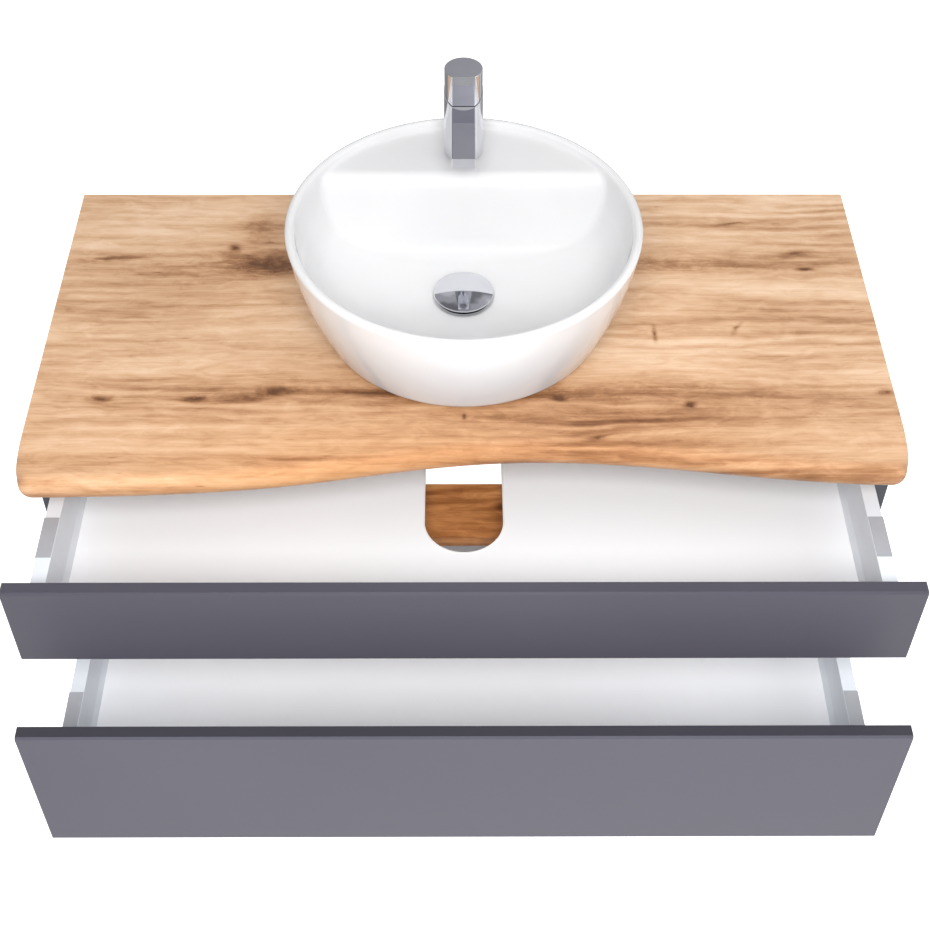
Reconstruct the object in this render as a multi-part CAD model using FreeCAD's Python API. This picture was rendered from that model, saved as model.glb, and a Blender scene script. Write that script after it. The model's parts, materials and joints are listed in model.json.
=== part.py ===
"""Wall-hung bathroom vanity with a round vessel basin, a single-lever mixer and two drawers.

Units are millimetres. X runs to the right, -Y out of the wall towards the user and +Z up.
The origin is the centre of the hanging rail's back face, which lies on the wall plane Y = 0.
Both drawers are drawn partly pulled out; their joints run from shut to full extension.
"""
import FreeCAD, Part
import math
import os

V = FreeCAD.Vector
X_AXIS = V(1, 0, 0)
Y_AXIS = V(0, 1, 0)
Z_AXIS = V(0, 0, 1)

# --- worktop -------------------------------------------------------------------------------------
TOP_Z = 82.0                 # upper face of the worktop above the origin
TOP_THICK = 32.0
TOP_HALF = 500.0             # half of the worktop's width
TOP_CORNER_X = 492.0         # half width at the front corner
TOP_CORNER_R = 16.5
TOP_SWEEP = 16.5             # degrees by which the sides open out behind the corner, up to the full width
NOSE_R = 15.0                # rounding of the front nose, above and below
TOP_FRONT = [                # the waved front edge, left to right
    (-492, -512), (-390, -510), (-290, -505), (-180, -493), (-69, -474), (50, -461),
    (213, -468), (325, -482), (410, -491), (492, -495),
]

# --- carcass -------------------------------------------------------------------------------------
BOARD = 16.0                 # thickness of every chipboard panel
CARCASS_HALF = 497.0
CARCASS_DEPTH = 440.0
CARCASS_TOP = TOP_Z - TOP_THICK
CARCASS_BOTTOM = -346.0
INNER_HALF = CARCASS_HALF - BOARD
RAIL_DEPTH = 80.0            # front rails, front to back
HANGING_RAIL_HEIGHT = 2 * CARCASS_TOP
TRAVERSE_TOP = -97.0         # upper face of the board between the drawers
TRAVERSE_DEPTH = 87.0
WALL_SCREW_X = 440.0
WALL_SCREW_Z = 29.0
WALL_SCREW_R = 4.5

# --- drawers -------------------------------------------------------------------------------------
FRONT_HALF = 500.0
FRONT_BACK_Y = -442.0        # back face of both fronts when the drawers are shut
FRONT_EDGE = 2.5             # chamfer along the front's upper front edge
DRAWER_BACK_Y = -22.0        # rear end of both drawers when shut
PANEL_HALF = 460.8           # half width of the drawer bottoms
SIDE_HALF = 478.0            # outer edge of the drawer side's top flange
SIDE_WALL = 461.0            # inner face of the drawer side's wall
SIDE_RISE = 68.5             # top of the drawer side above the bottom panel
FOOT_HALF = 457.0            # where the sloping foot meets the bottom panel
FOOT_RISE = 11.6             # height of the sloping foot
SHEET = 1.2                  # steel sheet of drawer sides and runners
UPPER = dict(
    name="upper", panel_z=-62.5, pulled=167.0, front_top=31.0, front_bottom=-88.0)
LOWER = dict(
    name="lower", panel_z=-291.0, pulled=250.0, front_top=-123.0, front_bottom=-344.0)
CUT_HALF = 47.0              # half width of the cut-out for the waste pipe
CUT_FRONT = -324.5           # foremost point of the cut-out when the drawer is shut
TRIM = 2.0                   # edging round the cut-out

# --- roller runners ------------------------------------------------------------------------------
TRACK_RISE = 4.5             # underside of the drawer's track flange above the bottom panel
CHANNEL_DROP = 1.0           # cabinet profile below the track flange
ROLLER_GAP = 0.3
CAB_ROLLER_R = 9.5
DRAWER_ROLLER_R = 8.0
ROLLER_IN = 467.5            # inner and outer side of every roller
ROLLER_OUT = 475.5
PIN_R = 2.5
PIN_CLEAR = 0.05
CAB_ROLLER_Y = -428.0
DRAWER_ROLLER_BACK = 12.0    # rear roller's centre ahead of the drawer's rear end
CHANNEL_INSIDE = DRAWER_ROLLER_R * 2 + ROLLER_GAP * 2
CHANNEL_Y = (-416.0, -18.0)  # front and rear end of the profile's flanges
RUNNER_SCREWS_Y = (-60.0, -220.0, -400.0)

# --- basin ---------------------------------------------------------------------------------------
BASIN_Y = -230.0
BASIN_R = 207.0
BASIN_H = 140.0
RIM = 11.0
SEAL = 1.0                   # sealing ring between basin and worktop
FOOT_FLAT_R = 160.0          # outer edge of the flat foot
FOOT_TOP = (171.5, 9.0)      # radius and height where the foot's rounding ends
DECK_H = 130.0               # tap deck above the worktop
DECK_Y = -139.0              # front edge of the tap deck
DECK_WALL_LEAN = 12.0        # how far the wall under the deck leans into the bowl
DECK_BACK = -126.0           # hollow under the deck starts here
DRAIN_R = 23.0
DRAIN_TOP = 22.0             # bowl's lowest level, above the worktop
DRAIN_UNDER = 12.0

# --- mixer ---------------------------------------------------------------------------------------
TAP_Y = -83.0
TAP_R = 23.4
HANDLE_R = 22.6
HANDLE_TOP = 248.0           # above the worktop, as are the next three
PART_FRONT = 203.5           # parting plane between body and handle at the front of the body
PART_BACK = 232.5            # and at its back
SPOUT_TIP_Y = -176.0
SPOUT_W = 28.0
SPOUT_TOP_BACK = 205.0
SPOUT_TOP_TIP = 187.0
SPOUT_TIP_THICK = 15.0
FLAT_AT = 18.4               # handle's front flat, measured from the axis
TAP_HOLE_R = 17.5
TILT_GAP = 1.2               # gap between body and handle
HOSE_HOLE_Y = -93.0
HOSE_HOLE_R = 20.0


def box(x0, x1, y0, y1, z0, z1):
    """Axis-aligned block between two opposite corners given in any order."""
    lo = V(min(x0, x1), min(y0, y1), min(z0, z1))
    return Part.makeBox(abs(x1 - x0), abs(y1 - y0), abs(z1 - z0), lo)


def cyl(r, x, y, z0, z1):
    """Upright cylinder."""
    return Part.makeCylinder(r, z1 - z0, V(x, y, z0))


def cyl_x(r, x0, x1, y, z):
    """Cylinder lying along X."""
    return Part.makeCylinder(r, abs(x1 - x0), V(min(x0, x1), y, z), X_AXIS)


def cyl_y(r, x, y0, y1, z):
    """Cylinder lying along Y."""
    return Part.makeCylinder(r, abs(y1 - y0), V(x, min(y0, y1), z), Y_AXIS)


def ring(r_out, r_in, x, y, z0, z1):
    """Upright tube."""
    return cyl(r_out, x, y, z0, z1).cut(cyl(r_in, x, y, z0 - 1, z1 + 1))


def prism_x(points, x0, x1):
    """Polygon given as (y, z) points, drawn out along X."""
    wire = Part.makePolygon([V(x0, y, z) for y, z in points + points[:1]])
    return Part.Face(wire).extrude(V(x1 - x0, 0, 0))


def prism_y(points, y0, y1):
    """Polygon given as (x, z) points, drawn out along Y."""
    wire = Part.makePolygon([V(x, y0, z) for x, z in points + points[:1]])
    return Part.Face(wire).extrude(V(0, y1 - y0, 0))


def mirror(shape):
    """The same shape on the other side of the plane X = 0."""
    return shape.mirror(V(0, 0, 0), X_AXIS)


def sided(shape, sign):
    """Shapes are drawn for the right (+1) side and mirrored for the left (-1)."""
    return shape if sign > 0 else mirror(shape)


def revolve(edges, x, y):
    """Turn a closed outline of edges, drawn in the XZ plane about X = 0, round an upright axis."""
    face = Part.Face(Part.Wire(edges))
    solid = face.revolve(V(0, 0, 0), Z_AXIS, 360)
    solid.translate(V(x, y, 0))
    return solid


def line(a, b):
    """Straight edge in the XZ plane from (r, z) to (r, z)."""
    return Part.LineSegment(V(a[0], 0, a[1]), V(b[0], 0, b[1])).toShape()


def arc(a, b, c):
    """Circular edge in the XZ plane through three (r, z) points."""
    return Part.Arc(V(a[0], 0, a[1]), V(b[0], 0, b[1]), V(c[0], 0, c[1])).toShape()


def spline(points):
    """Smooth edge in the XZ plane through (r, z) points."""
    curve = Part.BSplineCurve()
    curve.interpolate([V(r, 0, z) for r, z in points])
    return curve.toShape()


def save(name, *shapes):
    """Write one sub-part; several shapes stay separate solids in the same node."""
    solids = [s for shape in shapes for s in shape.removeSplitter().Solids]
    for solid in solids:
        if not solid.isValid() or solid.Volume <= 0:
            raise RuntimeError(name + " is not a valid solid")
    shape = solids[0] if len(solids) == 1 else Part.makeCompound(solids)
    shape.exportStep("parts/" + name + ".step")
    print("%-28s %2d solid(s) %12.0f mm3" % (name, len(solids), shape.Volume))


# --- worktop -------------------------------------------------------------------------------------
def worktop():
    """Oak board with a waved, rounded front nose, the drain hole and the hose hole."""
    z = CARCASS_TOP
    wave = Part.BSplineCurve()
    wave.interpolate([V(x, y, z) for x, y in TOP_FRONT])
    left_end = V(-TOP_CORNER_X, TOP_FRONT[0][1], z)
    right_end = V(TOP_CORNER_X, TOP_FRONT[-1][1], z)
    sweep = math.tan(math.radians(TOP_SWEEP))
    left_back = V(left_end.x + left_end.y * sweep, 0, z)
    right_back = V(right_end.x - right_end.y * sweep, 0, z)
    edges = [
        wave.toShape(),
        Part.LineSegment(right_end, right_back).toShape(),
        Part.LineSegment(right_back, left_back).toShape(),
        Part.LineSegment(left_back, left_end).toShape(),
    ]
    face = Part.Face(Part.Wire(Part.__sortEdges__(edges)))
    board = face.extrude(V(0, 0, TOP_THICK))
    corners = [
        e for e in board.Edges
        if abs(e.Length - TOP_THICK) < 0.01 and e.BoundBox.YMin < -470]
    board = board.makeFillet(TOP_CORNER_R, corners)
    nose = [
        e for e in board.Edges
        if e.BoundBox.ZLength < 0.01 and e.BoundBox.YMax < -450 and e.BoundBox.XLength > 100]
    board = board.makeFillet(NOSE_R, nose)
    board = board.common(box(-TOP_HALF, TOP_HALF, left_end.y - 10, 0, z, TOP_Z))
    drain = cyl(32.5, 0, BASIN_Y, z - 1, TOP_Z + 1)
    hoses = cyl(HOSE_HOLE_R, 0, HOSE_HOLE_Y, z - 1, TOP_Z + 1)
    return board.cut(drain).cut(hoses)


# --- carcass -------------------------------------------------------------------------------------
RAILS = {                    # y0, y1, z0, z1 of the boards between the side panels
    "top_front_rail": (-410.0, -410.0 + RAIL_DEPTH, CARCASS_TOP - BOARD, CARCASS_TOP),
    "hanging_rail": (-BOARD, 0.0, CARCASS_TOP - HANGING_RAIL_HEIGHT, CARCASS_TOP),
    "middle_traverse": (
        -CARCASS_DEPTH, -CARCASS_DEPTH + TRAVERSE_DEPTH, TRAVERSE_TOP - BOARD, TRAVERSE_TOP),
    "bottom_front_rail": (
        -CARCASS_DEPTH, -CARCASS_DEPTH + RAIL_DEPTH, CARCASS_BOTTOM, CARCASS_BOTTOM + BOARD),
    "rear_bottom_rail": (-BOARD, 0.0, CARCASS_BOTTOM, CARCASS_BOTTOM + RAIL_DEPTH),
}
DOWEL_R = 3.95
DOWEL_HOLE_R = 4.0
DOWEL_IN_PANEL = 8.0
DOWEL_IN_RAIL = 22.0
CAM_R = 7.5
CAM_DEPTH = 12.0
CAM_INSET = 30.0             # cam fitting's centre from the side panel
SCREW_GAP = 0.05


def rail_spots(rail):
    """Centres (y, z) of the dowel and of the cam fitting in a rail's end grain."""
    y0, y1, z0, z1 = RAILS[rail]
    flat = (y1 - y0) > (z1 - z0)
    mid_y = (y0 + y1) / 2
    mid_z = (z0 + z1) / 2
    if flat:
        return (mid_y - RAIL_DEPTH / 4, mid_z), (mid_y + RAIL_DEPTH / 4, mid_z)
    return (mid_y, mid_z - RAIL_DEPTH / 4), (mid_y, mid_z + RAIL_DEPTH / 4)


def dowel(rail, sign, r, slack=0.0):
    """Wooden dowel, or its hole, between a rail's end and the side panel."""
    (y, z), _ = rail_spots(rail)
    x0 = INNER_HALF - DOWEL_IN_RAIL - slack
    x1 = INNER_HALF + DOWEL_IN_PANEL + slack
    return sided(cyl_x(r, x0, x1, y, z), sign)


def cam(rail, sign, r, depth):
    """Round cam fitting, or its pocket, let into the rail's under or inner face."""
    _, (y, z) = rail_spots(rail)
    y0, y1, z0, z1 = RAILS[rail]
    x = INNER_HALF - CAM_INSET
    if (y1 - y0) > (z1 - z0):
        return sided(cyl(r, x, y, z0, z0 + depth), sign)
    return sided(cyl_y(r, x, y0, y0 + depth, z), sign)


def worktop_screw(x, r, head_r):
    """Screw, or its hole, that pulls the worktop down on the front rail."""
    y0, y1, z0, z1 = RAILS["top_front_rail"]
    mid = (y0 + y1) / 2
    shank = cyl(r, x, mid, z0, z1 + 20)
    return shank if head_r is None else shank.fuse(cyl(head_r, x, mid, z0 - 2.5, z0))


WORKTOP_SCREWS_X = (-400.0, -150.0, 150.0, 400.0)
BRACKET = 2.0                # steel of the wall brackets
BRACKET_X = 419.0            # inner end of the bracket
BRACKET_Z = (10.0, 48.0)
BRACKET_LEG_Y = -60.0
BRACKET_SCREWS_Y = (-32.0, -50.0)


def wall_screw_hole(sign):
    """Clearance hole for the wall screw through bracket and hanging rail."""
    return cyl_y(WALL_SCREW_R, sign * WALL_SCREW_X, -BOARD - BRACKET - 1, 1, WALL_SCREW_Z)


def wall_bracket():
    """Steel angle in the upper rear corner, behind the drawer."""
    x1 = INNER_HALF
    z0, z1 = BRACKET_Z
    back = box(BRACKET_X, x1, -BOARD - BRACKET, -BOARD, z0, z1)
    leg = box(x1 - BRACKET, x1, BRACKET_LEG_Y, -BOARD, z0, z1)
    shape = back.fuse(leg).cut(wall_screw_hole(1))
    for y in BRACKET_SCREWS_Y:
        shape = shape.cut(cyl_x(2.05, x1 - 5, x1 + 5, y, WALL_SCREW_Z))
    return shape


def bracket_screw(y, r):
    """Small screw from the bracket's leg into the side panel."""
    head = cyl_x(3.5, INNER_HALF - BRACKET - 1.2, INNER_HALF - BRACKET, y, WALL_SCREW_Z)
    return cyl_x(r, INNER_HALF - BRACKET, INNER_HALF + 12, y, WALL_SCREW_Z).fuse(head)


# --- runners and rollers -------------------------------------------------------------------------
def track_z(drawer):
    """Underside of the drawer's track flange."""
    return drawer["panel_z"] + TRACK_RISE


def channel_z(drawer):
    """Lower and upper inner face of the cabinet profile."""
    top = track_z(drawer) - CHANNEL_DROP - SHEET
    return top - CHANNEL_INSIDE, top


def cab_roller_z(drawer):
    """Centre of the cabinet's front roller."""
    return track_z(drawer) - ROLLER_GAP - CAB_ROLLER_R


def drawer_roller_z(drawer):
    """Centre of the drawer's rear roller."""
    return channel_z(drawer)[0] + ROLLER_GAP + DRAWER_ROLLER_R


def drawer_roller_y(drawer):
    """Rear roller's centre in the drawn pose."""
    return DRAWER_BACK_Y - DRAWER_ROLLER_BACK - drawer["pulled"]


def runner_screw(drawer, y, r):
    """Screw that holds the cabinet profile on the side panel, or its hole."""
    z = sum(channel_z(drawer)) / 2
    web = INNER_HALF - SHEET
    shank = cyl_x(r, web, INNER_HALF + 12, y, z)
    return shank.fuse(cyl_x(3.5, web - 1.5, web, y, z))


def runner(drawer):
    """Cabinet profile: a C of sheet steel with the front roller's pin riveted to its web."""
    z0, z1 = channel_z(drawer)
    y0, y1 = CHANNEL_Y
    web_x = INNER_HALF - SHEET
    lip_x = ROLLER_IN - 0.5
    shape = box(web_x, INNER_HALF, -CARCASS_DEPTH + 1, y1, z0 - SHEET, z1 + SHEET)
    shape = shape.fuse(box(lip_x, web_x, y0, y1, z0 - SHEET, z0))
    shape = shape.fuse(box(lip_x, web_x, y0, y1, z1, z1 + SHEET))
    z = cab_roller_z(drawer)
    pin = cyl_x(PIN_R, ROLLER_IN - 0.3, web_x, CAB_ROLLER_Y, z)
    head = cyl_x(PIN_R + 1.5, ROLLER_IN - 1.1, ROLLER_IN - 0.3, CAB_ROLLER_Y, z)
    shoulder = cyl_x(PIN_R + 1.5, ROLLER_OUT + 0.3, web_x, CAB_ROLLER_Y, z)
    shape = shape.fuse(pin).fuse(head).fuse(shoulder)
    for y in RUNNER_SCREWS_Y:
        shape = shape.cut(cyl_x(1.8, web_x - 1, INNER_HALF + 1, y, (z0 + z1) / 2))
    return shape


def roller(r, y, z):
    """Plastic runner wheel with its pin hole and a dished outer face."""
    wheel = cyl_x(r, ROLLER_IN, ROLLER_OUT, y, z)
    wheel = wheel.cut(cyl_x(PIN_R + PIN_CLEAR, ROLLER_IN - 1, ROLLER_OUT + 1, y, z))
    dish = cyl_x(r - 1.8, ROLLER_OUT - 1, ROLLER_OUT + 1, y, z)
    dish = dish.cut(cyl_x(PIN_R + 1.8, ROLLER_OUT - 2, ROLLER_OUT + 2, y, z))
    return wheel.cut(dish)


# --- drawers -------------------------------------------------------------------------------------
def drawer_ends(drawer):
    """Front and rear end of the drawer box in the drawn pose."""
    return FRONT_BACK_Y - drawer["pulled"], DRAWER_BACK_Y - drawer["pulled"]


def drawer_front(drawer):
    """Plain board with a narrow chamfer along its upper front edge."""
    y1, _ = drawer_ends(drawer)
    y0 = y1 - BOARD
    top, bottom = drawer["front_top"], drawer["front_bottom"]
    outline = [
        (y1, bottom), (y0, bottom), (y0, top - FRONT_EDGE), (y0 + FRONT_EDGE, top), (y1, top)]
    return prism_x(outline, -FRONT_HALF, FRONT_HALF)


def drawer_side(drawer):
    """Rolled steel side: top flange, wall, sloping foot, panel flange, track flange, roller pin."""
    y0, y1 = drawer_ends(drawer)
    base = drawer["panel_z"]
    top = base + SIDE_RISE
    wall = SIDE_WALL + SHEET
    under = base - BOARD - SHEET
    track = track_z(drawer)
    shape = box(SIDE_WALL, wall, y0, y1, under, top)
    shape = shape.fuse(box(SIDE_WALL, SIDE_HALF, y0, y1, top - SHEET, top))
    shape = shape.fuse(box(SIDE_HALF - SHEET, SIDE_HALF, y0, y1, top - 6, top))
    shape = shape.fuse(box(SIDE_WALL - 16, wall, y0, y1, under, under + SHEET))
    shape = shape.fuse(box(wall, ROLLER_OUT + 1.5, y0, y1, track, track + SHEET))
    foot = [(SIDE_WALL, base), (FOOT_HALF, base), (SIDE_WALL, base + FOOT_RISE)]
    shape = shape.fuse(prism_y(foot, y0, y1))
    y = drawer_roller_y(drawer)
    z = drawer_roller_z(drawer)
    shape = shape.fuse(cyl_x(PIN_R, wall, ROLLER_OUT + 0.3, y, z))
    shape = shape.fuse(cyl_x(PIN_R + 1.5, ROLLER_OUT + 0.3, ROLLER_OUT + 1.1, y, z))
    return shape.fuse(cyl_x(PIN_R + 1.5, wall, ROLLER_IN - 0.3, y, z))


def cut_out(drawer, half, z0, z1):
    """U-shaped space for the waste pipe, open to the back."""
    y = CUT_FRONT + CUT_HALF - drawer["pulled"]
    _, back = drawer_ends(drawer)
    return cyl(half, 0, y, z0, z1).fuse(box(-half, half, y, back + 1, z0, z1))


def drawer_bottom(drawer, with_cut):
    """White bottom panel, with the cut-out in the upper drawer."""
    y0, y1 = drawer_ends(drawer)
    z = drawer["panel_z"]
    panel = box(-PANEL_HALF, PANEL_HALF, y0, y1, z - BOARD, z)
    if with_cut:
        panel = panel.cut(cut_out(drawer, CUT_HALF + TRIM, z - BOARD - 1, z + 1))
    return panel


def cut_edging(drawer):
    """White plastic edging round the cut-out."""
    z = drawer["panel_z"]
    outer = cut_out(drawer, CUT_HALF + TRIM, z - BOARD, z + 0.5)
    _, back = drawer_ends(drawer)
    outer = outer.cut(box(-100, 100, back, back + 10, z - 50, z + 50))
    return outer.cut(cut_out(drawer, CUT_HALF, z - BOARD - 1, z + 1))


def drawer_back(drawer, x0, x1):
    """Back board standing on the bottom panel."""
    _, y1 = drawer_ends(drawer)
    z = drawer["panel_z"]
    if x0 < -SIDE_WALL + 5:
        x0 = -FOOT_HALF
    if x1 > SIDE_WALL - 5:
        x1 = FOOT_HALF
    return box(x0, x1, y1 - BOARD, y1, z, z + SIDE_RISE - 2)


def front_bracket(drawer):
    """Steel angle outside the drawer's wall that carries the front."""
    y0, _ = drawer_ends(drawer)
    x = SIDE_WALL + SHEET
    z0 = track_z(drawer) + SHEET + 2
    z1 = drawer["panel_z"] + SIDE_RISE - SHEET - 6
    plate = box(x, SIDE_HALF - SHEET - 1, y0, y0 + 1.5, z0, z1)
    leg = box(x, x + 1.5, y0, y0 + 30, z0, z1)
    plate = plate.fuse(leg)
    for z in (z0 + 10, z1 - 10):
        plate = plate.cut(cyl_y(1.8, x + 8, y0 - 1, y0 + 3, z))
    return plate


def cover_cap(drawer):
    """Grey plastic cap clipped on the top flange behind the front."""
    y0, _ = drawer_ends(drawer)
    z = drawer["panel_z"] + SIDE_RISE
    plate = box(SIDE_WALL + 0.6, SIDE_HALF, y0 + 55, y0 + 113, z, z + 0.8)
    return plate.fuse(box(SIDE_HALF, SIDE_HALF + 0.8, y0 + 55, y0 + 113, z - 5, z + 0.8))


# --- basin ---------------------------------------------------------------------------------------
def up(h):
    """Height above the worktop, as a Z value."""
    return TOP_Z + h


def basin_outside():
    """Full body of revolution: rounded foot, slightly bellied wall and rounded rim."""
    rim_z = up(BASIN_H - RIM / 2)
    rise = FOOT_TOP[1] - SEAL
    foot_r = ((FOOT_TOP[0] - FOOT_FLAT_R) ** 2 + rise ** 2) / (2 * rise)
    turn = math.asin((FOOT_TOP[0] - FOOT_FLAT_R) / foot_r) / 2
    middle = (FOOT_FLAT_R + foot_r * math.sin(turn), up(SEAL + foot_r * (1 - math.cos(turn))))
    foot_top = (FOOT_TOP[0], up(FOOT_TOP[1]))
    edges = [
        line((0, up(SEAL)), (FOOT_FLAT_R, up(SEAL))),
        arc((FOOT_FLAT_R, up(SEAL)), middle, foot_top),
        arc(foot_top, (193.5, up(70)), (BASIN_R, rim_z)),
        arc((BASIN_R, rim_z), (BASIN_R - RIM / 2, up(BASIN_H)), (BASIN_R - RIM, rim_z)),
        line((BASIN_R - RIM, rim_z), (0, rim_z)),
        line((0, rim_z), (0, up(SEAL))),
    ]
    return revolve(edges, 0, BASIN_Y)


def bowl_space():
    """Inside of the bowl before the tap deck is left standing at its back."""
    rim_z = up(BASIN_H - RIM / 2)
    high = up(BASIN_H + 5)
    edges = [
        spline([
            (BASIN_R - RIM, rim_z), (189, up(92)), (171, up(55)),
            (135, up(35)), (80, up(26)), (36, up(DRAIN_TOP + 2))]),
        line((36, up(DRAIN_TOP + 2)), (34, up(DRAIN_TOP))),
        line((34, up(DRAIN_TOP)), (0, up(DRAIN_TOP))),
        line((0, up(DRAIN_TOP)), (0, high)),
        line((0, high), (BASIN_R - RIM, high)),
        line((BASIN_R - RIM, high), (BASIN_R - RIM, rim_z)),
    ]
    return revolve(edges, 0, BASIN_Y)


def user_space(far):
    """Space in front of the bowl's steep back wall and above the tap deck."""
    deck_z = up(DECK_H)
    half = math.sqrt(0.5)
    edge_r = 12.0
    foot_r = 34.0
    wall_y = DECK_Y - DECK_WALL_LEAN
    foot_z = up(DRAIN_TOP + 2)
    corners = [
        V(-far, DECK_Y + edge_r, deck_z),
        V(-far, DECK_Y + edge_r * (1 - half), deck_z - edge_r * (1 - half)),
        V(-far, DECK_Y, deck_z - edge_r),
        V(-far, wall_y, foot_z + foot_r),
        V(-far, wall_y - foot_r * (1 - half), foot_z + foot_r * (1 - half)),
        V(-far, wall_y - foot_r, foot_z),
    ]
    edges = [
        Part.makeLine(V(-far, far, deck_z), corners[0]),
        Part.Arc(*corners[:3]).toShape(),
        Part.makeLine(corners[2], corners[3]),
        Part.Arc(*corners[3:]).toShape(),
        Part.makeLine(corners[5], V(-far, wall_y - foot_r, up(0))),
        Part.makeLine(V(-far, wall_y - foot_r, up(0)), V(-far, -2 * far, up(0))),
        Part.makeLine(V(-far, -2 * far, up(0)), V(-far, -2 * far, up(BASIN_H + 9))),
        Part.makeLine(V(-far, -2 * far, up(BASIN_H + 9)), V(-far, far, up(BASIN_H + 9))),
        Part.makeLine(V(-far, far, up(BASIN_H + 9)), V(-far, far, deck_z)),
    ]
    return Part.Face(Part.Wire(edges)).extrude(V(2 * far, 0, 0))


def basin():
    """Ceramic vessel: bowl, tap deck with a hollow under it, drain hole and tap hole."""
    far = 2 * BASIN_R
    low = up(0)
    deck_z = up(DECK_H)
    body = basin_outside().cut(bowl_space().common(user_space(far)))
    hollow = revolve([
        line((0, up(-1)), (157, up(-1))),
        line((157, up(-1)), (161, up(12))),
        arc((161, up(12)), (182.5, up(70)), (194, up(DECK_H - 12))),
        line((194, up(DECK_H - 12)), (0, up(DECK_H - 12))),
        line((0, up(DECK_H - 12)), (0, up(-1)))], 0, BASIN_Y)
    hollow = hollow.common(box(-far, far, DECK_BACK, 0, low - 1, deck_z))
    under = revolve([
        line((0, up(-1)), (0, up(DRAIN_UNDER))),
        line((0, up(DRAIN_UNDER)), (100, up(14))),
        line((100, up(14)), (138, up(22))),
        line((138, up(22)), (150, up(22))),
        line((150, up(22)), (152, up(-1))),
        line((152, up(-1)), (0, up(-1)))], 0, BASIN_Y)
    body = body.cut(hollow).cut(under)
    body = body.cut(cyl(DRAIN_R, 0, BASIN_Y, low, deck_z))
    return body.cut(cyl(TAP_HOLE_R, 0, TAP_Y, deck_z - 20, deck_z + 5))


# --- waste ---------------------------------------------------------------------------------------
DRAIN_FLANGE_R = 33.0
DRAIN_SEAL = 0.8
DRAIN_FLANGE_TOP = 25.0
DRAIN_THREAD_R = 22.0
TAIL_R = 20.95
TAIL_LENGTH = 22.0
TAIL_BOTTOM = -78.0
DRAIN_BORE_R = 16.0
CAP_R = 36.0
CAP_UNDER = 30.0
CAP_EDGE = 2.2               # thickness at the cap's edge
CAP_DOME = 2.8
SPINDLE_R = 3.0


def drain_body():
    """Flanged brass tube that clamps the basin's floor and ends in the trap thread."""
    seat = up(DRAIN_TOP + DRAIN_SEAL)
    shape = cyl(DRAIN_FLANGE_R, 0, BASIN_Y, seat, up(DRAIN_FLANGE_TOP))
    shape = shape.fuse(cyl(DRAIN_THREAD_R, 0, BASIN_Y, up(TAIL_BOTTOM + TAIL_LENGTH), seat))
    tail = cyl(TAIL_R, 0, BASIN_Y, up(TAIL_BOTTOM), up(TAIL_BOTTOM + TAIL_LENGTH))
    return shape.fuse(tail).cut(cyl(DRAIN_BORE_R, 0, BASIN_Y, up(TAIL_BOTTOM - 1), up(40)))


def hexagon(across, x, y, z0, z1):
    """Hexagonal bar, given its width across the flats."""
    r = across / math.sqrt(3)
    corners = [
        V(x + r * math.cos(math.radians(60 * i)), y + r * math.sin(math.radians(60 * i)), z0)
        for i in range(7)]
    return Part.Face(Part.makePolygon(corners)).extrude(V(0, 0, z1 - z0))


def drain_guide():
    """Three-legged insert that guides the cap's spindle."""
    z0, z1 = up(4), up(12)
    shape = cyl(5.5, 0, BASIN_Y, z0, z1)
    for i in range(3):
        leg = box(0, DRAIN_BORE_R - 0.3, BASIN_Y - 1.2, BASIN_Y + 1.2, z0, z1)
        leg.rotate(V(0, BASIN_Y, 0), Z_AXIS, 90 + 120 * i)
        shape = shape.fuse(leg)
    band = ring(DRAIN_BORE_R - 0.05, DRAIN_BORE_R - 1.3, 0, BASIN_Y, z0, z1)
    return shape.fuse(band).cut(cyl(SPINDLE_R + PIN_CLEAR, 0, BASIN_Y, z0 - 1, z1 + 1))


def drain_cap():
    """Slightly domed push-open cap."""
    z = up(CAP_UNDER)
    dome_r = (CAP_R ** 2 + CAP_DOME ** 2) / (2 * CAP_DOME)
    top = z + CAP_EDGE + CAP_DOME
    ball = Part.makeSphere(dome_r, V(0, BASIN_Y, top - dome_r))
    shape = cyl(CAP_R, 0, BASIN_Y, z, top + 1).common(ball)
    rim = [e for e in shape.Edges if e.Length > 6 * CAP_R]
    return shape.makeFillet(0.7, rim)


# --- mixer ---------------------------------------------------------------------------------------
PART_TILT = math.degrees(math.atan2(PART_BACK - PART_FRONT, 2 * TAP_R))
PART_MID = up((PART_FRONT + PART_BACK) / 2)
TILT_RANGE = 15.0            # how far the lever lifts
STUD_Y = TAP_Y - 12.0
STUD_R = 4.0
CARTRIDGE_R = 12.5
NUT_R = 15.0
NUT_DEEP = 6.0
DISC_R = 8.8
STEM_R = 3.0
LIFT_DEEP = 3.0              # lever's pivot pin below the parting plane
LIFT_PIN_R = 1.0
LIFT_PIVOT = V(
    0,
    TAP_Y + LIFT_DEEP * math.sin(math.radians(PART_TILT)),
    PART_MID - LIFT_DEEP * math.cos(math.radians(PART_TILT)))


def tilted(shape):
    """Turn a shape drawn round an upright axis at the tap onto the sloping cartridge axis."""
    shape = shape.copy()
    shape.rotate(V(0, TAP_Y, PART_MID), X_AXIS, PART_TILT)
    return shape


def under_plane(lift, lever_tilt=0.0):
    """Big block below the parting plane, raised by lift and then turned about the lever's pin."""
    block = box(-60, 60, TAP_Y - 90, TAP_Y + 90, PART_MID + lift - 200, PART_MID + lift)
    block = tilted(block)
    block.rotate(LIFT_PIVOT, X_AXIS, lever_tilt)
    return block


def lift_pin(r, half):
    """Lever's pivot pin, or its hole, lying along X in the cartridge's turning disc."""
    return tilted(cyl_x(r, -half, half, TAP_Y, PART_MID - LIFT_DEEP))


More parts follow.
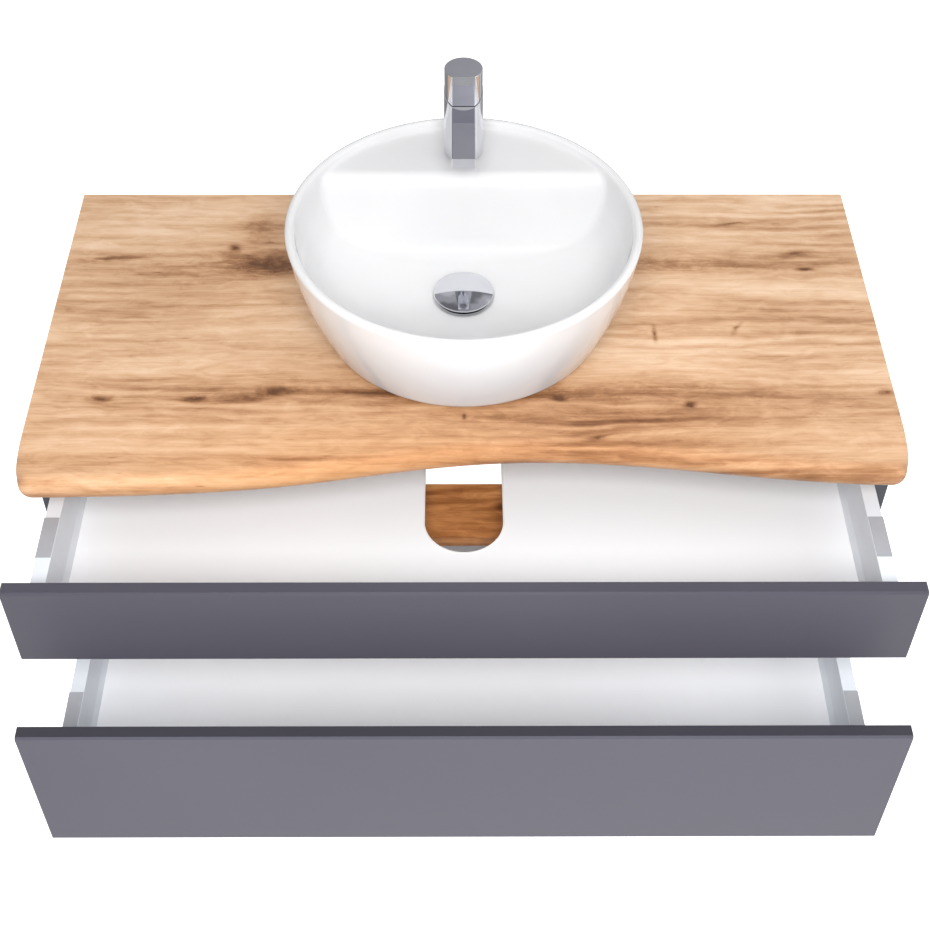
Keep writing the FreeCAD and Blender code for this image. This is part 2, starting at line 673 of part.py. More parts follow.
def spout():
    """Sloping flat-topped spout, drawn back into the body."""
    slope = (SPOUT_TOP_BACK - SPOUT_TOP_TIP) / (TAP_Y - TAP_R - SPOUT_TIP_Y)
    top_back = SPOUT_TOP_BACK + slope * TAP_R
    outline = [
        (TAP_Y, up(top_back)), (SPOUT_TIP_Y, up(SPOUT_TOP_TIP)),
        (SPOUT_TIP_Y + 2, up(SPOUT_TOP_TIP - SPOUT_TIP_THICK)), (TAP_Y - 12, up(181)),
        (TAP_Y, up(181))]
    shape = prism_x(outline, -SPOUT_W / 2, SPOUT_W / 2)
    long_edges = [
        e for e in shape.Edges
        if e.BoundBox.YMin < SPOUT_TIP_Y + 3 and abs(abs(e.BoundBox.Center.x) - SPOUT_W / 2) < 0.1]
    return shape.makeFillet(1.6, long_edges)


def aerator_place():
    """Centre line and mouth height of the aerator under the spout's tip."""
    return SPOUT_TIP_Y + 14.0, up(SPOUT_TOP_TIP - SPOUT_TIP_THICK + 0.8)


def tap_body():
    """Cast body: round column, spout, cartridge seat, hose threads and stud hole."""
    base = up(DECK_H + SEAL)
    column = cyl(TAP_R, 0, TAP_Y, base, up(PART_BACK + 20)).common(under_plane(0))
    arm = spout().cut(cyl(HANDLE_R + 0.4, 0, TAP_Y, up(PART_BACK - 60), up(260)).cut(under_plane(0)))
    shape = column.fuse(arm)
    seat = cyl(NUT_R + 0.1, 0, TAP_Y, PART_MID - NUT_DEEP, PART_MID + 40)
    seat = seat.fuse(cyl(CARTRIDGE_R + 0.1, 0, TAP_Y, PART_MID - 20, PART_MID))
    shape = shape.cut(tilted(seat))
    for x in (-8.5, 8.5):
        shape = shape.cut(cyl(4.45, x, TAP_Y + 5, base - 1, base + 12))
    shape = shape.cut(cyl(STUD_R + SCREW_GAP, 0, STUD_Y, base - 1, base + 10))
    y, z = aerator_place()
    return shape.cut(cyl(9.1, 0, y, z - 10, z + 8))


def tap_handle():
    """Round lever cap with a front flat, sloping underside and room to tip back."""
    shape = cyl(HANDLE_R, 0, TAP_Y, up(180), up(HANDLE_TOP))
    rim = [e for e in shape.Edges if e.BoundBox.ZMin > up(HANDLE_TOP) - 0.1]
    shape = shape.makeFillet(0.8, rim)
    shape = shape.cut(box(-40, 40, TAP_Y - 60, TAP_Y - FLAT_AT, up(170), up(260)))
    shape = shape.cut(under_plane(TILT_GAP)).cut(under_plane(TILT_GAP, TILT_RANGE))
    shape = shape.cut(tilted(cyl(10.5, 0, TAP_Y, PART_MID - 5, PART_MID + 7)))
    shape = shape.cut(tilted(cyl(STEM_R + SCREW_GAP, 0, TAP_Y, PART_MID, PART_MID + 16)))
    return shape.cut(cyl_y(2.05, 0, TAP_Y, TAP_Y + 60, PART_MID + 16))


def tap_carrier():
    """Cartridge's turning disc with the slot that the lever's stem works in."""
    disc = cyl(DISC_R, 0, TAP_Y, PART_MID - NUT_DEEP, PART_MID)
    slot = box(-3.6, 3.6, TAP_Y - 5.5, TAP_Y + 5.5, PART_MID - 5.2, PART_MID + 1)
    return tilted(disc.cut(slot)).cut(lift_pin(LIFT_PIN_R + PIN_CLEAR, DISC_R + 1))


def tap_lever_stem():
    """Lever's stem and the pin through its foot on which it tips."""
    stem = tilted(cyl(STEM_R, 0, TAP_Y, PART_MID - LIFT_DEEP - 1.2, PART_MID + 15.5))
    pin = lift_pin(LIFT_PIN_R, DISC_R - 1.0)
    return stem.cut(pin), pin


def tap_washer():
    """Horseshoe washer under the deck that lets the hoses pass."""
    z0, z1 = up(DECK_H - 15), up(DECK_H - 12)
    plate = cyl(24, 0, TAP_Y, z0, z1)
    plate = plate.cut(box(-14, 14, TAP_Y - 3, TAP_Y + 40, z0 - 1, z1 + 1))
    return plate.cut(cyl(STUD_R + SCREW_GAP, 0, STUD_Y, z0 - 1, z1 + 1))


# --- writing the sub-parts -----------------------------------------------------------------------
SIDES = (("left", -1), ("right", 1))
DRAWERS = (UPPER, LOWER)


def write_carcass():
    """Worktop, panels, rails and their fittings."""
    top = worktop()
    screws = [worktop_screw(x, 2.0, 4.0) for x in WORKTOP_SCREWS_X]
    screw_holes = [worktop_screw(x, 2.0 + SCREW_GAP, None) for x in WORKTOP_SCREWS_X]
    for hole in screw_holes:
        top = top.cut(hole)
    save("worktop", top)
    panels = {}
    for side, sign in SIDES:
        panel = box(INNER_HALF, CARCASS_HALF, -CARCASS_DEPTH, 0, CARCASS_BOTTOM, CARCASS_TOP)
        panels[side] = sided(panel, sign)
    dowels = []
    cams = []
    for rail, (y0, y1, z0, z1) in RAILS.items():
        board = box(-INNER_HALF, INNER_HALF, y0, y1, z0, z1)
        for side, sign in SIDES:
            hole = dowel(rail, sign, DOWEL_HOLE_R, 0.5)
            board = board.cut(hole).cut(cam(rail, sign, CAM_R + SCREW_GAP, CAM_DEPTH))
            panels[side] = panels[side].cut(hole)
            dowels.append(dowel(rail, sign, DOWEL_R))
            cams.append(cam(rail, sign, CAM_R, CAM_DEPTH))
            if rail == "hanging_rail":
                board = board.cut(wall_screw_hole(sign))
        if rail == "top_front_rail":
            for hole in screw_holes:
                board = board.cut(hole)
        save(rail, board)
    save("carcass_dowels", *dowels)
    save("cam_fittings", *cams)
    save("worktop_screws", *screws)
    runner_screws = []
    bracket_screws = []
    for side, sign in SIDES:
        save("hanging_bracket_" + side, sided(wall_bracket(), sign))
        for y in BRACKET_SCREWS_Y:
            bracket_screws.append(sided(bracket_screw(y, 2.0), sign))
            panels[side] = panels[side].cut(sided(bracket_screw(y, 2.0 + SCREW_GAP), sign))
        for drawer in DRAWERS:
            save("runner_" + drawer["name"] + "_" + side, sided(runner(drawer), sign))
            for y in RUNNER_SCREWS_Y:
                runner_screws.append(sided(runner_screw(drawer, y, 1.75), sign))
                hole = sided(runner_screw(drawer, y, 1.8), sign)
                panels[side] = panels[side].cut(hole)
        save("side_panel_" + side, panels[side])
    save("bracket_screws", *bracket_screws)
    save("runner_screws", *runner_screws)


def write_drawer(drawer):
    """Everything that slides with one drawer, and the rollers of its runners."""
    name = drawer["name"]
    has_cut = drawer is UPPER
    save(name + "_front", drawer_front(drawer))
    for side, sign in SIDES:
        save(name + "_side_" + side, sided(drawer_side(drawer), sign))
    save(name + "_bottom", drawer_bottom(drawer, has_cut))
    if has_cut:
        save(name + "_cutout_edging", cut_edging(drawer))
        save(name + "_back_left", drawer_back(drawer, -PANEL_HALF, -CUT_HALF - TRIM))
        save(name + "_back_right", drawer_back(drawer, CUT_HALF + TRIM, PANEL_HALF))
    else:
        save(name + "_back", drawer_back(drawer, -PANEL_HALF, PANEL_HALF))
    both = [sign for _, sign in SIDES]
    save(name + "_front_brackets", *[sided(front_bracket(drawer), s) for s in both])
    save(name + "_cover_caps", *[sided(cover_cap(drawer), s) for s in both])
    fixed = roller(CAB_ROLLER_R, CAB_ROLLER_Y, cab_roller_z(drawer))
    moving = roller(DRAWER_ROLLER_R, drawer_roller_y(drawer), drawer_roller_z(drawer))
    save("cabinet_rollers_" + name, *[sided(fixed, s) for s in both])
    save("drawer_rollers_" + name, *[sided(moving, s) for s in both])


def write_basin():
    """Basin and push-open waste."""
    save("basin", basin())
    save("basin_seal", ring(FOOT_FLAT_R, FOOT_FLAT_R - 7, 0, BASIN_Y, up(0), up(SEAL)).cut(
        cyl(HOSE_HOLE_R + 2, 0, HOSE_HOLE_Y, up(-1), up(5))))
    save("drain_body", drain_body())
    seal_top = up(DRAIN_TOP + DRAIN_SEAL)
    save("drain_flange_seal", ring(32, DRAIN_R + 1, 0, BASIN_Y, up(DRAIN_TOP), seal_top))
    under = up(DRAIN_UNDER)
    save("drain_lower_seal", ring(31, DRAIN_THREAD_R + 0.2, 0, BASIN_Y, under - 3, under))
    nut = hexagon(52, 0, BASIN_Y, under - 11, under - 3)
    save("drain_nut", nut.cut(cyl(DRAIN_THREAD_R + SCREW_GAP, 0, BASIN_Y, under - 12, under)))
    save("drain_guide", drain_guide())
    save("drain_cap", drain_cap())
    save("drain_spindle", cyl(SPINDLE_R, 0, BASIN_Y, up(-8), up(CAP_UNDER)))


def write_mixer():
    """Single-lever mixer and what clamps it to the deck."""
    deck = up(DECK_H)
    save("tap_body", tap_body())
    save("tap_base_seal", ring(22.5, 18.5, 0, TAP_Y, deck, deck + SEAL))
    y, z = aerator_place()
    aerator = cyl(9.0, 0, y, z - 3, z + 7).cut(cyl(6.5, 0, y, z - 4, z + 1))
    save("tap_aerator", aerator)
    cartridge = cyl(CARTRIDGE_R, 0, TAP_Y, PART_MID - 20, PART_MID - NUT_DEEP)
    save("tap_cartridge", tilted(cartridge))
    nut = ring(NUT_R, DISC_R + 0.3, 0, TAP_Y, PART_MID - NUT_DEEP, PART_MID)
    save("tap_cartridge_nut", tilted(nut))
    save("tap_carrier", tap_carrier())
    save("tap_handle", tap_handle())
    save("tap_lever_stem", *tap_lever_stem())
    save("tap_set_screw", cyl_y(2.0, 0, TAP_Y + 3.0, TAP_Y + 13, PART_MID + 16))
    save("tap_stud", cyl(STUD_R, 0, STUD_Y, up(94), deck + 10))
    save("tap_washer", tap_washer())
    nut_top = up(DECK_H - 15)
    fixing = hexagon(13, 0, STUD_Y, nut_top - 7, nut_top)
    save("tap_fixing_nut", fixing.cut(cyl(STUD_R + SCREW_GAP, 0, STUD_Y, nut_top - 8, nut_top)))


os.makedirs("parts", exist_ok=True)
write_carcass()
write_basin()
write_mixer()
for one in DRAWERS:
    write_drawer(one)
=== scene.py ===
"""Looks of a wall-hung bathroom vanity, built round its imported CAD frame.

Metres, +Z up, -Y out of the wall towards the user and +X to the right. CAD nodes whose shape is right
keep it and get a finer material and softened edges. The glazed basin is drawn here as one closed mesh.
"""
import bpy
import json
import math
import numpy as np
from mathutils import Matrix, Vector


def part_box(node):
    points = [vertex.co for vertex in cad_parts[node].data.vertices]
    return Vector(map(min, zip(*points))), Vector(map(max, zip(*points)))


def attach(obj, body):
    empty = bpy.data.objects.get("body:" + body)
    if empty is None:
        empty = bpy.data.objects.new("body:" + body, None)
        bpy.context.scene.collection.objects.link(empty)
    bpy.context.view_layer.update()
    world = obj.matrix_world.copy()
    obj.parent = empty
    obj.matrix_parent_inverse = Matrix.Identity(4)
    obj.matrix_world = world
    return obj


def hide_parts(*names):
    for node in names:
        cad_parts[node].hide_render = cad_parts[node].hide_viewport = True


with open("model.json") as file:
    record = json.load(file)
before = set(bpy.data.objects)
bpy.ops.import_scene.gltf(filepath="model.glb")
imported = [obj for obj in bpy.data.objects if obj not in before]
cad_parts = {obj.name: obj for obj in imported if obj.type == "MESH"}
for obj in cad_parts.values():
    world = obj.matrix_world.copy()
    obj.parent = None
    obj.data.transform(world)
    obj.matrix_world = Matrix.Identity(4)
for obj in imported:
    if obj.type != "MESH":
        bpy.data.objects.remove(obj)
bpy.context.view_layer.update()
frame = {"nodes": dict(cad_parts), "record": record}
nodes = frame["nodes"]
MM = 0.001
worktop_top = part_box("worktop")[1].z
worktop_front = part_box("worktop")[0].y


# --- shader helpers ------------------------------------------------------------------------------
def srgb(red, green, blue):
    """Colour given as 0 to 255 display values, as the linear colour that shaders take."""
    linear = []
    for value in (red, green, blue):
        c = value / 255
        linear.append(c / 12.92 if c <= 0.04045 else ((c + 0.055) / 1.055) ** 2.4)
    return (*linear, 1.0)


class Shader:
    """One material's node tree, with short calls for the nodes used here."""

    def __init__(self, name, **sockets):
        self.material = bpy.data.materials.new(name)
        self.material.use_nodes = True
        self.tree = self.material.node_tree
        self.surface = self.tree.nodes["Principled BSDF"]
        for socket, value in sockets.items():
            self.surface.inputs[socket.replace("_", " ")].default_value = value
        self.place = self.node("TexCoord").outputs["Object"]

    def node(self, kind, **settings):
        made = self.tree.nodes.new("ShaderNode" + kind)
        for key, value in settings.items():
            setattr(made, key, value)
        return made

    def wire(self, value, socket):
        """Link a socket, or set a number or vector."""
        if isinstance(value, bpy.types.NodeSocket):
            self.tree.links.new(value, socket)
        else:
            socket.default_value = value

    def math(self, operation, *values, clamp=False):
        made = self.node("Math", operation=operation, use_clamp=clamp)
        for value, socket in zip(values, made.inputs):
            self.wire(value, socket)
        return made.outputs[0]

    def mapped(self, vector, location=(0, 0, 0), rotation=(0, 0, 0), scale=(1, 1, 1), kind="POINT"):
        made = self.node("Mapping", vector_type=kind)
        for value, socket in zip((vector, location, rotation, scale), made.inputs):
            self.wire(value, socket)
        return made.outputs[0]

    def noise(self, vector, scale=(1, 1, 1), detail=2.0, roughness=0.5, distortion=0.0):
        """Noise about 0.5; scale is in cycles per metre along each axis."""
        made = self.node("TexNoise")
        self.wire(self.mapped(vector, scale=scale), made.inputs["Vector"])
        made.inputs["Scale"].default_value = 1.0
        made.inputs["Detail"].default_value = detail
        made.inputs["Roughness"].default_value = roughness
        made.inputs["Distortion"].default_value = distortion
        return made.outputs["Fac"]

    def ramp(self, factor, stops, smooth=False):
        """Colour ramp through (position, colour or grey) stops."""
        made = self.node("ValToRGB")
        ramp = made.color_ramp
        ramp.interpolation = "EASE" if smooth else "LINEAR"
        for index, (position, colour) in enumerate(stops):
            stop = ramp.elements[index] if index < 2 else ramp.elements.new(position)
            stop.position = position
            stop.color = colour if isinstance(colour, tuple) else (colour, colour, colour, 1.0)
        self.wire(factor, made.inputs[0])
        return made.outputs["Color"]

    def parts(self, vector):
        """The X, Y and Z of a vector."""
        made = self.node("SeparateXYZ")
        self.wire(vector, made.inputs[0])
        return made.outputs

    def normal(self):
        """The X, Y and Z of the surface's direction."""
        return self.parts(self.node("NewGeometry").outputs["Normal"])

    def vector(self, x=0.0, y=0.0, z=0.0):
        made = self.node("CombineXYZ")
        for value, socket in zip((x, y, z), made.inputs):
            self.wire(value, socket)
        return made.outputs[0]

    def moved(self, vector, push):
        """Vector plus another one."""
        made = self.node("VectorMath", operation="ADD")
        self.wire(vector, made.inputs[0])
        self.wire(push, made.inputs[1])
        return made.outputs[0]

    def between(self, factor, low, high):
        """Number that runs from low to high as factor runs from 0 to 1."""
        made = self.node("MapRange")
        for value, socket in zip((factor, 0.0, 1.0, low, high), made.inputs):
            self.wire(value, socket)
        return made.outputs[0]

    def bump(self, height, distance, normal=None):
        made = self.node("Bump")
        made.inputs["Distance"].default_value = distance
        self.wire(height, made.inputs["Height"])
        if normal is not None:
            self.wire(normal, made.inputs["Normal"])
        return made.outputs["Normal"]

    def out(self, **sockets):
        """Link finished results to the surface."""
        for socket, value in sockets.items():
            self.wire(value, self.surface.inputs[socket.replace("_", " ")])
        return self.material


# --- oak -----------------------------------------------------------------------------------------
OAK_TONES = [                # from the darkest knot to the palest grain
    (0.0, srgb(104, 68, 44)), (0.18, srgb(134, 93, 62)), (0.36, srgb(170, 126, 90)),
    (0.52, srgb(200, 157, 120)), (0.68, srgb(219, 180, 144)), (0.84, srgb(232, 198, 166)),
    (1.0, srgb(240, 211, 182)),
]
OAK_STREAKS = [              # long soft heartwood streaks: x, y, half length, half width (mm), turn, darkness
    (0, -145, 700, 45, 0, 0.52), (0, -370, 700, 30, 0, 0.28), (0, -60, 700, 30, 0, 0.20),
    (0, -220, 700, 30, 0, 0.12), (0, -410, 700, 30, 0, 0.14),
]
OAK_KNOTS = [                # the figure that stands out, in round numbers; noise makes the rest
    (-250, -140, 90, 40, -10, 0.34), (-260, -70, 60, 60, 10, 0.26), (-290, -110, 15, 12, 0, 0.45),
    (-440, -130, 90, 8, 5, 0.35), (-420, -380, 30, 9, 0, 0.42), (-310, -380, 30, 9, 0, 0.50),
    (-220, -370, 45, 12, 10, 0.48), (-260, -380, 50, 15, 0, 0.30), (0, -410, 5, 10, 0, 0.40),
    (430, -150, 20, 8, 0, 0.60), (420, -120, 50, 15, 5, 0.30), (350, -60, 80, 8, 10, 0.30),
    (230, -270, 6, 25, 0, 0.45), (330, -260, 6, 20, -40, 0.35), (110, -380, 20, 8, 0, 0.45),
    (260, -390, 14, 10, 20, 0.65), (490, -370, 20, 10, 0, 0.50), (150, -440, 30, 8, 15, 0.35),
]
BOARD_KNOTS = [              # the same for the narrow board between the drawers
    (50, -390, 30, 12, 10, 0.40), (-260, -400, 20, 8, 0, 0.40), (300, -390, 20, 8, 0, 0.40),
]


OAK_GRAIN = [                # noise scale along and across (per metre), detail, roughness, distortion, share
    (1.6, 13.0, 3.0, 0.55, 0.0, 0.85),       # clouding
    (3.5, 62.0, 4.0, 0.6, 0.3, 0.60),        # streaks
    (26.0, 80.0, 4.0, 0.65, 0.8, 0.52),      # mottle
    (14.0, 420.0, 3.0, 0.6, 0.0, 0.26),      # fibre
]
OAK_RINGS = {"Scale": 17.0, "Distortion": 9.0, "Detail": 3.0, "Detail Scale": 0.9}
# warm tint multiplied in as painted shade, over the front centre of the worktop and over the whole board
# between the drawers
OAK_SHADE_TINT = srgb(236, 194, 132)
KNOT_FROM = 0.3              # marks darker than this push the grain aside
MARK_GAIN = 1.25
NOSE_DROP = 40 * MM          # how far the decor runs on over the front nose


def shifted(s, vector, scale, amount, detail=2.0):
    """Vector moved across the grain by a noise of that scale."""
    wave = s.math("MULTIPLY", s.math("SUBTRACT", s.noise(vector, scale, detail), 0.5), amount)
    return s.moved(vector, s.vector(y=wave))


def oak_place(s, top_z):
    """Place on the decor sheet: wrapped over the front nose, and turned on the end faces."""
    along, back, height = s.parts(s.place)
    face = s.vector(along, s.math("ADD", back, s.math("SUBTRACT", height, top_z)))
    end = s.vector(s.math("ADD", back, 0.9), s.math("SUBTRACT", height, 0.42))
    turned = s.node("Mix", data_type="VECTOR")
    s.wire(s.math("GREATER_THAN", s.math("ABSOLUTE", s.normal()[0]), 0.93), turned.inputs["Factor"])
    s.wire(face, turned.inputs[4])
    s.wire(end, turned.inputs[5])
    return along, turned.outputs[1]


def oak_marks(s, place, marks):
    """Darkness of the knots and streaks, and how strongly the knots push the grain."""
    darkness = 0.0
    knots = 0.0
    for x, y, half_length, half_width, turn, strength in marks:
        placed = s.mapped(
            place, (x * MM, y * MM, 0), (0, 0, math.radians(turn)),
            (half_length * MM, half_width * MM, 1), "TEXTURE")
        blob = s.node("TexGradient", gradient_type="QUADRATIC_SPHERE")
        s.wire(placed, blob.inputs[0])
        darkness = s.math("MULTIPLY_ADD", blob.outputs["Fac"], strength * MARK_GAIN, darkness)
        if strength > KNOT_FROM:
            knots = s.math("MULTIPLY_ADD", blob.outputs["Fac"], strength, knots)
    return darkness, knots


def oak_figure(s, place):
    """Growth rings, showing in patches."""
    rings = s.node("TexWave", bands_direction="Y")
    s.wire(s.mapped(place, scale=(0.22, 1.0, 1.0)), rings.inputs["Vector"])
    for socket, value in OAK_RINGS.items():
        rings.inputs[socket].default_value = value
    patch = s.noise(place, (3.0, 9.0, 1.0), 2.0)
    return s.math("MULTIPLY", rings.outputs["Fac"], s.math("SUBTRACT", patch, 0.42, clamp=True))


def oak_pores(s, place):
    """Fine open pores and a few short dark flecks."""
    pore = s.noise(place, (60.0, 1500.0, 1.0), 1.0, 0.5)
    pores = s.math("MULTIPLY", s.math("SUBTRACT", pore, 0.66, clamp=True), 1.1)
    fleck = s.noise(place, (22.0, 150.0, 1.0), 2.0, 0.5)
    return s.math("MULTIPLY_ADD", s.math("SUBTRACT", fleck, 0.71, clamp=True), 3.0, pores)


def oak(name, top_z, marks, base, least_shade_tint=0.0):
    """Oak decor with the grain along X; base is its mean tone, set lower as painted shade on a board in
    shadow, and the last argument is the least share of the warm tint that is painted shade.
    """
    s = Shader(name, Roughness=0.42)
    along, flat = oak_place(s, top_z)
    wavy = shifted(s, flat, (3.0, 9.0, 1.0), 0.022)
    ragged = shifted(s, wavy, (26.0, 70.0, 1.0), 0.010, detail=3.0)
    darkness, knots = oak_marks(s, ragged, marks)
    place = s.moved(wavy, s.vector(y=s.math("MULTIPLY", knots, 0.012)))
    across = s.math("DIVIDE", s.parts(wavy)[1], worktop_front - NOSE_DROP, clamp=True)

    grain = []
    for u, v, detail, roughness, distortion, share in OAK_GRAIN:
        grain.append((s.noise(place, (u, v, 1.0), detail, roughness, distortion), share))
    streak, fibre = grain[1][0], grain[3][0]
    # painted shade: the tone darkens towards the front nose
    tone = s.math("MULTIPLY_ADD", s.math("POWER", across, 2.0), -0.22, base)
    tone = s.math("MULTIPLY_ADD", oak_figure(s, place), -0.9, tone)
    for source, share in grain:
        tone = s.math("MULTIPLY_ADD", s.math("SUBTRACT", source, 0.5), share, tone)
    pores = oak_pores(s, place)
    tone = s.math("SUBTRACT", tone, pores)
    burl = s.noise(ragged, (70.0, 130.0, 1.0), 3.0, 0.65, 0.6)
    darkness = s.math("MULTIPLY", darkness, s.between(burl, 0.1, 1.9))
    colour = s.ramp(s.math("SUBTRACT", tone, darkness, clamp=True), OAK_TONES)

    # painted shade: a warm, darker tint over the front centre, where the decor catches less sheen
    front = s.ramp(across, [(0.0, 0.0), (0.55, 0.05), (0.75, 0.30), (0.90, 0.70), (1.0, 1.0)])
    middle_shade = s.ramp(s.math("ABSOLUTE", along), [(0.0, 1.0), (0.2, 0.8), (0.42, 0.3)])
    tint = s.node("Mix", data_type="RGBA", blend_type="MULTIPLY")
    s.wire(s.math("MAXIMUM", least_shade_tint, s.math("MULTIPLY", front, middle_shade)), tint.inputs["Factor"])
    s.wire(colour, tint.inputs[6])
    tint.inputs[7].default_value = OAK_SHADE_TINT
    relief = s.math("ADD", s.math("MULTIPLY", streak, 0.5), s.math("MULTIPLY", fibre, 0.5))
    return s.out(
        Base_Color=tint.outputs[2],
        Roughness=s.between(fibre, 0.38, 0.55),
        Normal=s.bump(s.math("SUBTRACT", relief, pores), 0.00012))


# --- other materials -----------------------------------------------------------------------------
def lacquer(name, colour, roughness, edge, pimple=0.00003):
    """Satin sprayed lacquer: even colour, faint clouding and orange peel; edge darkens its upward faces as
    painted shade.
    """
    s = Shader(name, IOR=1.5)
    cloud = s.noise(s.place, (3.0, 3.0, 3.0), 3.0)
    peel = s.noise(s.place, (420.0, 420.0, 420.0), 2.0)
    dark = tuple(c * 0.93 for c in colour[:3]) + (1.0,)
    # painted shade: upward faces are multiplied by edge
    shade = s.node("Mix", data_type="RGBA", blend_type="MULTIPLY")
    s.wire(s.math("GREATER_THAN", s.normal()[2], 0.9), shade.inputs["Factor"])
    s.wire(s.ramp(cloud, [(0.3, dark), (0.7, colour)]), shade.inputs[6])
    shade.inputs[7].default_value = (edge, edge, edge, 1.0)
    return s.out(
        Base_Color=shade.outputs[2],
        Roughness=s.between(cloud, roughness - 0.04, roughness + 0.05),
        Normal=s.bump(peel, pimple))


def melamine(name, colour, roughness=0.45):
    """Coated board: pale, nearly even, with a fine pressed texture."""
    s = Shader(name)
    cloud = s.noise(s.place, (5.0, 5.0, 5.0), 3.0)
    press = s.noise(s.place, (900.0, 900.0, 900.0), 2.0)
    dark = tuple(c * 0.98 for c in colour[:3]) + (1.0,)
    return s.out(
        Base_Color=s.ramp(cloud, [(0.3, dark), (0.7, colour)]),
        Roughness=s.between(press, roughness - 0.06, roughness + 0.06),
        Normal=s.bump(press, 0.00003))


def powder_coat(name, colour):
    """Powder-coated steel sheet: fine pebbled skin and faint clouding."""
    s = Shader(name)
    pebble = s.noise(s.place, (1300.0, 1300.0, 1300.0), 2.0)
    cloud = s.noise(s.place, (9.0, 9.0, 9.0), 2.0)
    dark = tuple(c * 0.9 for c in colour[:3]) + (1.0,)
    return s.out(
        Base_Color=s.ramp(cloud, [(0.3, dark), (0.7, colour)]),
        Roughness=s.between(pebble, 0.34, 0.5),
        Normal=s.bump(pebble, 0.00004))


def moulded(name, colour, roughness=0.5):
    """Moulded plastic with a fine eroded texture."""
    s = Shader(name)
    grain = s.noise(s.place, (1800.0, 1800.0, 1800.0), 2.0)
    cloud = s.noise(s.place, (30.0, 30.0, 30.0), 2.0)
    dark = tuple(c * 0.92 for c in colour[:3]) + (1.0,)
    return s.out(
        Base_Color=s.ramp(cloud, [(0.3, dark), (0.7, colour)]),
        Roughness=s.between(grain, roughness - 0.07, roughness + 0.07),
        Normal=s.bump(grain, 0.00003))


def metal(name, colour, roughness, brushing=None, spread=0.03):
    """Bare or plated metal; brushing gives the scale of fine lines along each axis."""
    s = Shader(name, Metallic=1.0)
    marks = s.noise(s.place, brushing or (60.0, 60.0, 60.0), 3.0)
    haze = s.noise(s.place, (25.0, 25.0, 25.0), 4.0)
    dark = tuple(c * 0.94 for c in colour[:3]) + (1.0,)
    return s.out(
        Base_Color=s.ramp(haze, [(0.35, dark), (0.65, colour)]),
        Roughness=s.between(haze, max(roughness - spread, 0.01), roughness + spread),
        Normal=s.bump(marks, 0.000004 if brushing is None else 0.00001))


def glazed(name, colour):
    """Glazed sanitary ware: white and glossy, barely wavy, with a painted cool cast low on its outer wall
    against the warm light bounced from the oak.
    """
    s = Shader(name, Roughness=0.1, IOR=1.5, Coat_Weight=0.35, Coat_Roughness=0.04)
    wave = s.noise(s.place, (14.0, 14.0, 14.0), 2.0)
    speck = s.noise(s.place, (260.0, 260.0, 260.0), 2.0)
    dark = tuple(c * 0.985 for c in colour[:3]) + (1.0,)
    rise = s.math("DIVIDE", s.math("SUBTRACT", s.parts(s.place)[2], worktop_top), 0.12, clamp=True)
    outside = s.math("LESS_THAN", s.normal()[2], 0.0)
    # painted light: a cool tint low on the outer wall offsets the warm bounce light
    painted_cool_cast = s.node("Mix", data_type="RGBA", blend_type="MULTIPLY")
    s.wire(s.math("MULTIPLY", outside, s.between(rise, 1.0, 0.0)), painted_cool_cast.inputs["Factor"])
    s.wire(s.ramp(wave, [(0.35, dark), (0.65, colour)]), painted_cool_cast.inputs[6])
    painted_cool_cast.inputs[7].default_value = srgb(230, 244, 255)
    return s.out(
        Base_Color=painted_cool_cast.outputs[2],
        Roughness=s.between(speck, 0.08, 0.16),
        Normal=s.bump(wave, 0.0004))


traverse_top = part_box("middle_traverse")[1].z
MATERIALS = {
    "anthracite_board": melamine("anthracite_board", srgb(72, 72, 80)),
    "anthracite_front": lacquer("anthracite_front", srgb(78, 76, 86), 0.36, 1.0),
    "white_board": melamine("white_board", srgb(250, 252, 255), 0.4),
    "white_edging": moulded("white_edging", srgb(246, 246, 246), 0.35),
    "drawer_steel": powder_coat("drawer_steel", srgb(234, 239, 246)),
    "grey_cap": moulded("grey_cap", srgb(172, 174, 180), 0.45),
    "zinc_steel": metal("zinc_steel", srgb(200, 203, 208), 0.28),
    "roller_plastic": moulded("roller_plastic", srgb(226, 226, 220), 0.4),
    "dowel_wood": melamine("dowel_wood", srgb(204, 168, 122), 0.6),
    "seal_rubber": moulded("seal_rubber", srgb(34, 34, 36), 0.7),
    "chrome": metal("chrome", srgb(232, 233, 238), 0.05, spread=0.015),
    "brass": metal("brass", srgb(212, 176, 98), 0.22),
    "cartridge_plastic": moulded("cartridge_plastic", srgb(150, 152, 158), 0.4),
}
GLAZE = glazed("glaze", srgb(224, 224, 225))
NODE_MATERIALS = {
    "worktop": oak("oak_worktop", worktop_top, OAK_STREAKS + OAK_KNOTS, 0.75),
    # the board between the drawers: a darker, warmer copy of the oak, painted shade for the shadow under the
    # upper drawer
    "middle_traverse": oak("oak_traverse_painted_shade", traverse_top, BOARD_KNOTS, 0.60, 0.8),
    # the lower front: a lighter copy of the front lacquer as painted light on its face, with its top face
    # darkened as painted shade under the upper drawer
    "lower_front": lacquer("anthracite_lower_front_lit_and_shaded", srgb(84, 83, 94), 0.36, 0.55),
    "basin": GLAZE,
}


def dress_cad_nodes():
    """Give every CAD node its material, and soften the sharp edges of the boards."""
    slot_of = {part["node"]: part["material_slot"] for part in frame["record"]["subparts"]}
    boards = ("front", "panel", "rail", "bottom", "back", "traverse", "worktop")
    for name, node in nodes.items():
        material = NODE_MATERIALS.get(name) or MATERIALS[slot_of[name]]
        for index in range(len(node.material_slots)):
            node.material_slots[index].material = material
        if any(word in name for word in boards) and "bracket" not in name:
            bevel = node.modifiers.new("eased_edges", "BEVEL")
            bevel.width = 0.5 * MM
            bevel.segments = 2
            bevel.limit_method = "ANGLE"
            bevel.angle_limit = math.radians(40)
            bevel.harden_normals = True


